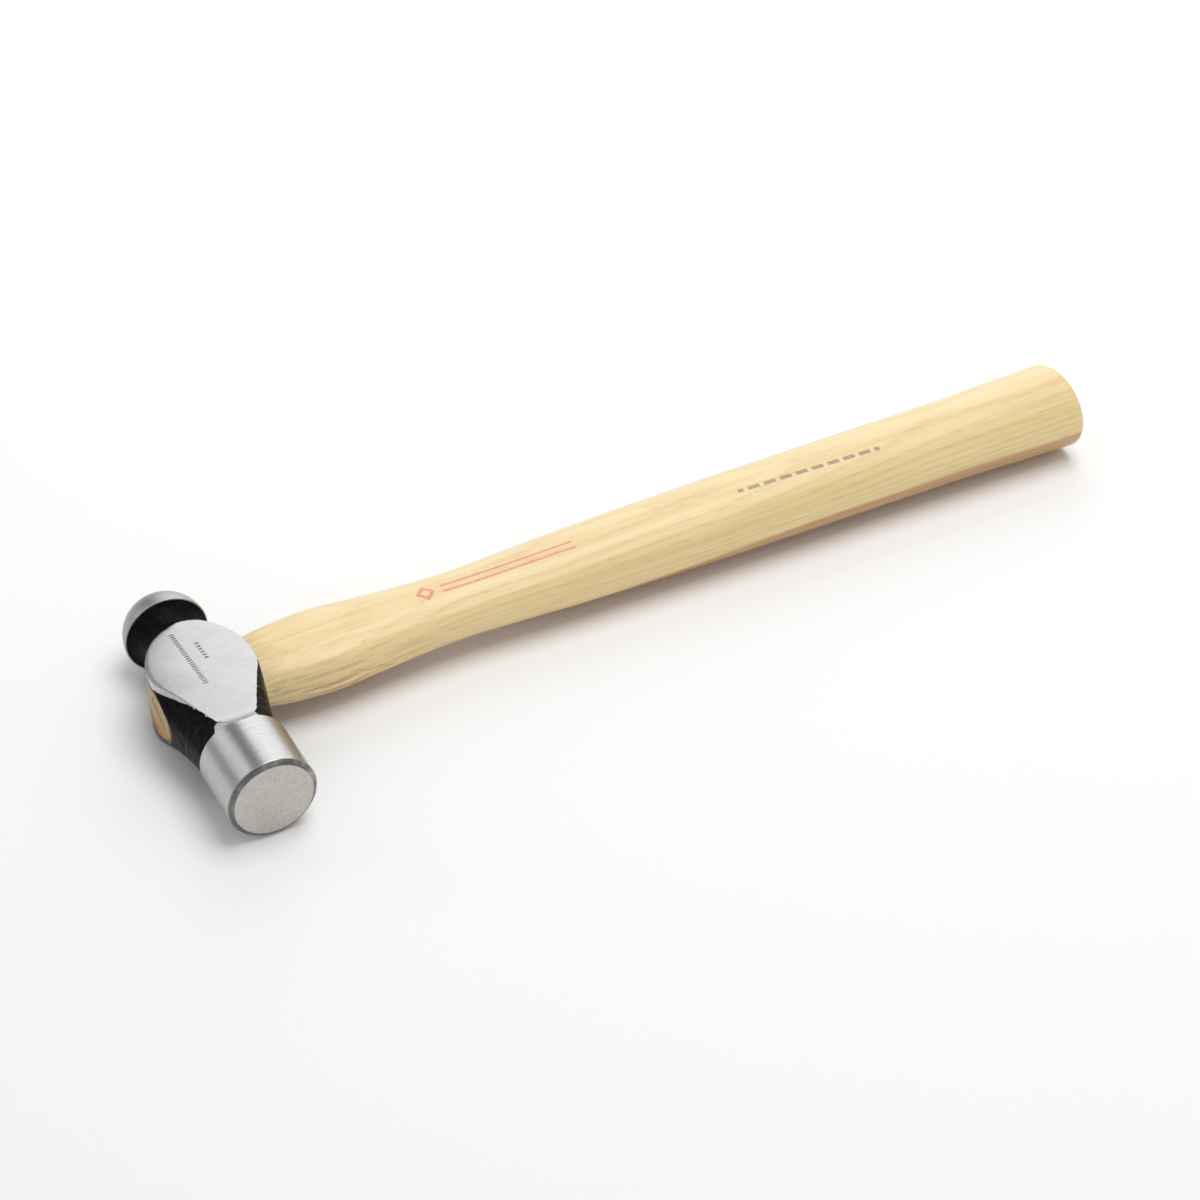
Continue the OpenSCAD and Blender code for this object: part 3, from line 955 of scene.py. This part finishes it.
def steel_face():
    """The striking face: a fine even grind that reads as speckle."""
    n = Nodes("head_steel_face")
    speck = n.noise(2600, n.stretched(1.0, 1.0, 0.7), detail=3.0, roughness=0.6)
    cloud = n.noise(120, detail=2.0)
    steel = n.mix(n.spread(speck, 0.35, 0.65), *FACE_STEEL)
    steel = n.mix(n.spread(cloud, 0.4, 0.7, 0.0, 0.3), steel, (0.62, 0.58, 0.55))
    rough = n.spread(speck, 0.3, 0.7, 0.38, 0.52)
    n.set(Base_Color=steel, Metallic=1.0, Roughness=rough, Normal=n.bump(speck, 0.000015))
    return n.material


def printed_marks(n, x, y, z):
    """Shares of red and of grey ink: a plain lozenge, a pair of lines and a row of dashes."""
    across = n.math("MULTIPLY_ADD", x, PRINT_LEAN, y)
    off = n.math("ABSOLUTE", n.math("SUBTRACT", across, PRINT_MIDDLE))
    along = n.math("ABSOLUTE", n.math("SUBTRACT", x, LOZENGE_X))
    reach = n.math("ADD", off, along)
    lozenge = n.spread(reach, LOZENGE_R - 0.15, LOZENGE_R + 0.15, 1.0, 0.0)
    hole = n.spread(reach, LOZENGE_R * LOZENGE_HOLE, LOZENGE_R * LOZENGE_HOLE + 0.3)
    lines = n.math("MULTIPLY", n.bar(off, RED_LINE_OFF, RED_LINE_HALF), n.bar(x, *RED_LINES))
    red = n.math("MAXIMUM", n.math("MULTIPLY", lozenge, hole), lines)
    dashes = n.math("MULTIPLY", n.bar(off, 0.0, DASH_HALF), n.bar(x, *GREY_DASHES))
    step = n.math("FRACT", n.math("DIVIDE", x, DASH_PITCH))
    grey = n.math("MULTIPLY", dashes, n.bar(step, 0.5, DASH_SHARE, 0.02))
    top = n.spread(z, *PRINT_TOP)
    patchy = n.spread(n.noise(1800, detail=3.0), 0.30, 0.48, 0.35, 1.0)
    ink = n.math("MULTIPLY", top, patchy)
    return n.math("MULTIPLY", red, ink), n.math("MULTIPLY", grey, ink)


def hickory():
    """Pale hickory with growth rings and pores, dark streaks near the head, and heartwood."""
    n = Nodes("hickory")
    x, y, z = n.local()
    # Growth rings, which sway and waver along the handle
    sway = n.math("SUBTRACT", n.noise(11, n.stretched(0.5, 1.0, 1.0), detail=2.0), 0.5)
    waver = n.math("SUBTRACT", n.noise(60, n.stretched(0.12, 1.0, 1.0), detail=2.0), 0.5)
    ry = n.math("MULTIPLY_ADD", sway, 14.0, n.math("ADD", y, -PITH_Y))
    rz = n.math("MULTIPLY_ADD", x, -PITH_LEAN, n.math("ADD", z, -PITH_Z))
    rz = n.math("MULTIPLY_ADD", sway, 7.0, rz)
    radius = n.math("SQRT", n.math("ADD", n.math("MULTIPLY", ry, ry), n.math("MULTIPLY", rz, rz)))
    radius = n.math("MULTIPLY_ADD", waver, 1.6, radius)
    phase = n.math("FRACT", n.math("DIVIDE", radius, RING_GAP))
    late = n.math("MULTIPLY", n.spread(phase, 0.35, 0.88), n.spread(phase, 0.93, 1.0, 1.0, 0.0))
    fibre = n.noise(900, n.stretched(0.03, 1.0, 1.0), detail=4.0, roughness=0.6)
    cloud = n.noise(22, n.stretched(0.25, 1.0, 1.0), detail=2.0)
    pore = n.noise(2600, n.stretched(0.05, 1.0, 1.0), detail=2.0)
    pore = n.math("MULTIPLY", n.spread(pore, 0.56, 0.66), n.spread(late, 0.25, 0.9, 0.05, 1.0))
    wood = n.mix(n.spread(fibre, 0.25, 0.75), *PALE_WOOD)
    wood = n.mix(n.spread(cloud, 0.35, 0.7, 0.0, 0.5), wood, CLOUD_WOOD)
    long_streak = n.noise(420, n.stretched(0.012, 1.0, 1.0), detail=3.0, roughness=0.65)
    wood = n.mix(n.spread(long_streak, 0.46, 0.72, 0.0, 0.6), wood, STREAK_WOOD)
    ring = n.math("MULTIPLY", late, n.spread(cloud, 0.3, 0.7, 0.08, 0.32))
    wood = n.mix(ring, wood, RING_WOOD)
    # Darker streaks low in front, near the head
    dark_streak = n.noise(620, n.stretched(0.05, 1.0, 1.0), detail=4.0, roughness=0.7)
    near_head = n.math(
        "MULTIPLY", n.spread(x, *STREAK_X, 1.0, 0.0), n.spread(z, *STREAK_Z, 1.0, 0.0)
    )
    near_head = n.math("MULTIPLY", near_head, n.spread(y, *STREAK_Y, 1.0, 0.0))
    dark_streak = n.math("MULTIPLY", n.spread(dark_streak, 0.47, 0.60), near_head)
    wood = n.mix(n.math("MULTIPLY", dark_streak, 0.85), wood, DARK_WOOD)
    # Heartwood along the lower front edge, from the grip's start to the butt
    low = n.math("MULTIPLY_ADD", waver, 3.0, n.math("SUBTRACT", HEART_TOP, z))
    low = n.math("ADD", low, n.spread(x, *HEART_RISES, -HEART_LOWER, 0.0))
    heart = n.math("MULTIPLY", n.spread(low, *HEART_EDGE), n.spread(y, *HEART_Y, 1.0, 0.0))
    brown = n.mix(n.spread(long_streak, 0.35, 0.65), *HEARTWOOD)
    brown = n.mix(n.math("MULTIPLY", late, 0.5), brown, HEART_RING)
    wood = n.mix(n.math("MULTIPLY", heart, 0.90), wood, brown)
    wood = n.mix(n.math("MULTIPLY", pore, 0.34), wood, PORE)
    red, grey = printed_marks(n, x, y, z)
    wood = n.mix(n.math("MULTIPLY", red, 0.80), wood, RED_INK)
    wood = n.mix(n.math("MULTIPLY", grey, 0.72), wood, GREY_INK)
    # The ends are cut across the grain, and the tenon's end is stained
    geometry = n.add("ShaderNodeNewGeometry")
    facing = n.add("ShaderNodeSeparateXYZ")
    n.put(facing.inputs[0], geometry.outputs["True Normal"])
    end = n.spread(n.math("ABSOLUTE", facing.outputs[0]), 0.75, 0.92)
    dots = n.spread(n.noise(2600, detail=2.0), 0.58, 0.70)
    grain_end = n.mix(late, *END_GRAIN)
    stain = n.spread(n.math("MULTIPLY_ADD", waver, 8.0, z), *STAIN_Z, 1.0, 0.0)
    stain = n.math("MULTIPLY", stain, n.spread(x, *STAIN_X, 1.0, 0.0))
    grain_end = n.mix(n.math("MULTIPLY", stain, 0.8), grain_end, END_STAIN)
    grain_end = n.mix(n.math("MULTIPLY", dots, 0.35), grain_end, END_PORE)
    color = n.mix(end, wood, grain_end)
    rough = n.spread(fibre, 0.3, 0.7, 0.42, 0.52)
    height = n.math("SUBTRACT", n.math("MULTIPLY", fibre, 0.3), pore)
    coat = n.blend(end, 1.0, 0.1)
    n.set(Base_Color=color, Roughness=rough, Normal=n.bump(height, 0.00004),
          Specular_IOR_Level=0.3, Coat_Weight=coat, Coat_Roughness=0.42, Coat_IOR=1.65)
    return n.material


def wedge_steel():
    """Dull grey steel, as cut, with scratches and dents."""
    n = Nodes("wedge_steel")
    scratch = n.noise(1300, detail=5.0, roughness=0.7)
    color = n.mix(n.spread(scratch, 0.35, 0.7), *WEDGE_STEEL)
    n.set(Base_Color=color, Metallic=0.9, Roughness=n.spread(scratch, 0.3, 0.7, 0.42, 0.6),
          Normal=n.bump(scratch, 0.00012))
    return n.material


# ================================================================ the pieces
def dress_head(head):
    """The head's four materials: its body, the poll, the chamfer and the striking face."""
    for material in (steel_body(), steel_poll(), steel_chamfer(), steel_face()):
        head.data.materials.append(material)
    centres = np.empty(len(head.data.polygons) * 3, np.float32)
    head.data.polygons.foreach_get("center", centres)
    centres = (centres.reshape(-1, 3) - CROSSING) / MM
    u, radius = -centres[:, 1], np.hypot(centres[:, 0], centres[:, 2])
    turned = (u > CHEEK_RAMP_END) | ((u > POLL_BACK + NEAR) & (radius > POLL_R - 0.01))
    slots = np.where(turned, 1, 0)
    slots = np.where(u > POLL_FRONT, 2, slots)
    slots = np.where(u > FACE_REACH - 0.01, 3, slots)
    head.data.polygons.foreach_set("material_index", slots.astype(np.int32))


def settle(piece, slot, *nodes):
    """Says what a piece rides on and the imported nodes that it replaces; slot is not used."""
    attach(piece, "root")
    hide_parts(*nodes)


head = make_head()
dress_head(head)
settle(head, "head_steel", "head")

handle = make_handle()
handle.data.materials.append(hickory())
settle(handle, "hickory", "handle")

WEDGE_MATERIAL = wedge_steel()
for name, node, side in (("wedge_front", "front_wedge", 1), ("wedge_rear", "rear_wedge", -1)):
    wedge = make_wedge(name, side)
    wedge.data.materials.append(WEDGE_MATERIAL)
    settle(wedge, "wedge_steel", node)


# ================================================================ floor, light and camera
# Metres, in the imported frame
FLOOR_HALF = 6.0
HEAD = (-0.164, -0.02, 0.015)
HAMMER = (0.0, 0.0, 0.0)
# The world's grey runs between two stops along this direction, brighter away from it
WORLD_WAY = (0.0, 0.6, 0.8)
WORLD_STOPS = ((0.1, (0.58, 0.58, 0.58, 1)), (0.95, (0.29, 0.29, 0.295, 1)))
# Softboxes: name, place, what it faces, width and height, watts
SOFTBOXES = (
    ("top_light", (0.25, -0.05, 1.30), HAMMER, (1.0, 0.8), 10.4),
    ("back_light", (0.426, 0.872, 0.56), HEAD, (0.95, 1.0), 4.1),
    ("strip_light", (-0.748, 0.814, 0.65), HEAD, (0.26, 0.9), 1.15),
)
CAMERA_PLACE = (-0.3529, -0.5942, 0.5537)
CAMERA_TARGET = (-0.0272, -0.0149, 0.0150)
CAMERA_ROLL = math.radians(0.605)
CAMERA_LENS = 75.0


def make_floor():
    half = FLOOR_HALF
    corners = [(-half, -half, 0), (half, -half, 0), (half, half, 0), (-half, half, 0)]
    mesh = bpy.data.meshes.new("floor")
    mesh.from_pydata(corners, [], [(0, 1, 2, 3)])
    floor = bpy.data.objects.new("floor", mesh)
    bpy.context.scene.collection.objects.link(floor)
    n = Nodes("floor_white")
    n.set(Base_Color=FLOOR_WHITE, Roughness=0.8, Specular_IOR_Level=0.1)
    mesh.materials.append(n.material)


def make_world():
    """A pale studio, brighter in front and at the horizon than above and behind."""
    world = bpy.data.worlds.new("studio")
    world.use_nodes = True
    bpy.context.scene.world = world
    tree = world.node_tree
    background = tree.nodes["Background"]
    place = tree.nodes.new("ShaderNodeTexCoord")
    height = tree.nodes.new("ShaderNodeVectorMath")
    height.operation = "DOT_PRODUCT"
    height.inputs[1].default_value = WORLD_WAY
    shade = tree.nodes.new("ShaderNodeValToRGB")
    tree.links.new(place.outputs["Generated"], height.inputs[0])
    tree.links.new(height.outputs["Value"], shade.inputs[0])
    tree.links.new(shade.outputs[0], background.inputs["Color"])
    for stop, (position, color) in zip(shade.color_ramp.elements, WORLD_STOPS):
        stop.position = position
        stop.color = color
    background.inputs["Strength"].default_value = 1.0


def softbox(name, place, target, size, power):
    light = bpy.data.lights.new(name, "AREA")
    light.shape = "RECTANGLE"
    light.size, light.size_y = size
    light.energy = power
    made = bpy.data.objects.new(name, light)
    bpy.context.scene.collection.objects.link(made)
    made.location = place
    made.rotation_mode = "QUATERNION"
    made.rotation_quaternion = (Vector(target) - Vector(place)).to_track_quat("-Z", "Y")


def make_camera():
    """A long lens, looking down at the head's face and cheek."""
    place = Vector(CAMERA_PLACE)
    data = bpy.data.cameras.new("camera")
    data.lens = CAMERA_LENS
    data.sensor_width = 36.0
    data.clip_start, data.clip_end = 0.01, 50.0
    camera = bpy.data.objects.new("camera", data)
    bpy.context.scene.collection.objects.link(camera)
    camera.location = place
    camera.rotation_mode = "QUATERNION"
    looking = (Vector(CAMERA_TARGET) - place).to_track_quat("-Z", "Y")
    camera.rotation_quaternion = looking @ Quaternion((0, 0, 1), CAMERA_ROLL)
    bpy.context.scene.camera = camera


make_floor()
make_world()
for box in SOFTBOXES:
    softbox(*box)
make_camera()
bpy.context.scene.view_settings.view_transform = "Standard"
